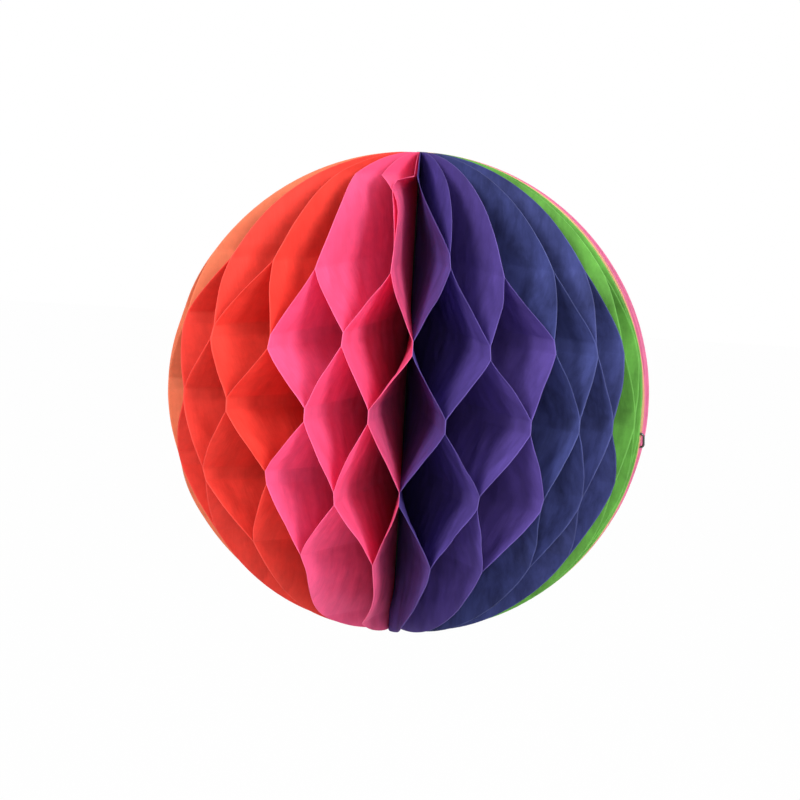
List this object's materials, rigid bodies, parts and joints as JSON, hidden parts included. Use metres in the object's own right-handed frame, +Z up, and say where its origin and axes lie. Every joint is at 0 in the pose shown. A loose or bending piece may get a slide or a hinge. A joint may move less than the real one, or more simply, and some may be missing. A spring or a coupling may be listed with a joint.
{
  "type": "honeycomb paper ball",
  "caption": "Hanging ball of coloured tissue leaves glued in a honeycomb, opened all the way round its spine and held by a wire clip at the seam of its card covers.",
  "frame": {"origin": "middle of the ball, halfway up its spine", "axes": "+Z up the spine towards the hanging point, -Y towards the viewer of the picture, +X to the viewer's right"},
  "size_m": [0.1989, 0.1988, 0.2],
  "materials": {
    "tissue_green": "thin dyed tissue paper, matt, lets light through",
    "tissue_navy": "thin dyed tissue paper, matt, lets light through",
    "tissue_purple": "thin dyed tissue paper, matt, lets light through",
    "tissue_magenta": "thin dyed tissue paper, matt, lets light through",
    "tissue_red": "thin dyed tissue paper, matt, lets light through",
    "tissue_orange": "thin dyed tissue paper, matt, lets light through",
    "tissue_yellow": "thin dyed tissue paper, matt, lets light through",
    "tissue_lime": "thin dyed tissue paper, matt, lets light through",
    "tissue_turquoise": "thin dyed tissue paper, matt, lets light through",
    "tissue_sky_blue": "thin dyed tissue paper, matt, lets light through",
    "tissue_lilac": "thin dyed tissue paper, matt, lets light through",
    "tissue_pink": "thin dyed tissue paper, matt, lets light through",
    "card": "plain card, matt",
    "binding": "white thread and dried glue",
    "clip_wire": "drawn steel wire"
  },
  "bodies": {
    "root": {"spine_binding": "binding", "cover_front": "card", "cover_back": "card", "rim_clip": "clip_wire", "leaf_01_green": "tissue_green", "leaf_02_green": "tissue_green", "leaf_03_green": "tissue_green", "leaf_04_green": "tissue_green", "leaf_05_navy": "tissue_navy", "leaf_06_navy": "tissue_navy", "leaf_07_navy": "tissue_navy", "leaf_08_navy": "tissue_navy", "leaf_09_purple": "tissue_purple", "leaf_10_purple": "tissue_purple", "leaf_11_purple": "tissue_purple", "leaf_12_purple": "tissue_purple", "leaf_13_magenta": "tissue_magenta", "leaf_14_magenta": "tissue_magenta", "leaf_15_magenta": "tissue_magenta", "leaf_16_magenta": "tissue_magenta", "leaf_17_red": "tissue_red", "leaf_18_red": "tissue_red", "leaf_19_red": "tissue_red", "leaf_20_red": "tissue_red", "leaf_21_orange": "tissue_orange", "leaf_22_orange": "tissue_orange", "leaf_23_orange": "tissue_orange", "leaf_24_orange": "tissue_orange", "leaf_25_yellow": "tissue_yellow", "leaf_26_yellow": "tissue_yellow", "leaf_27_yellow": "tissue_yellow", "leaf_28_yellow": "tissue_yellow", "leaf_29_lime": "tissue_lime", "leaf_30_lime": "tissue_lime", "leaf_31_lime": "tissue_lime", "leaf_32_lime": "tissue_lime", "leaf_33_turquoise": "tissue_turquoise", "leaf_34_turquoise": "tissue_turquoise", "leaf_35_turquoise": "tissue_turquoise", "leaf_36_turquoise": "tissue_turquoise", "leaf_37_sky_blue": "tissue_sky_blue", "leaf_38_sky_blue": "tissue_sky_blue", "leaf_39_sky_blue": "tissue_sky_blue", "leaf_40_sky_blue": "tissue_sky_blue", "leaf_41_lilac": "tissue_lilac", "leaf_42_lilac": "tissue_lilac", "leaf_43_lilac": "tissue_lilac", "leaf_44_lilac": "tissue_lilac", "leaf_45_pink": "tissue_pink", "leaf_46_pink": "tissue_pink", "leaf_47_pink": "tissue_pink", "leaf_48_pink": "tissue_pink"}
  },
  "joints": []
}
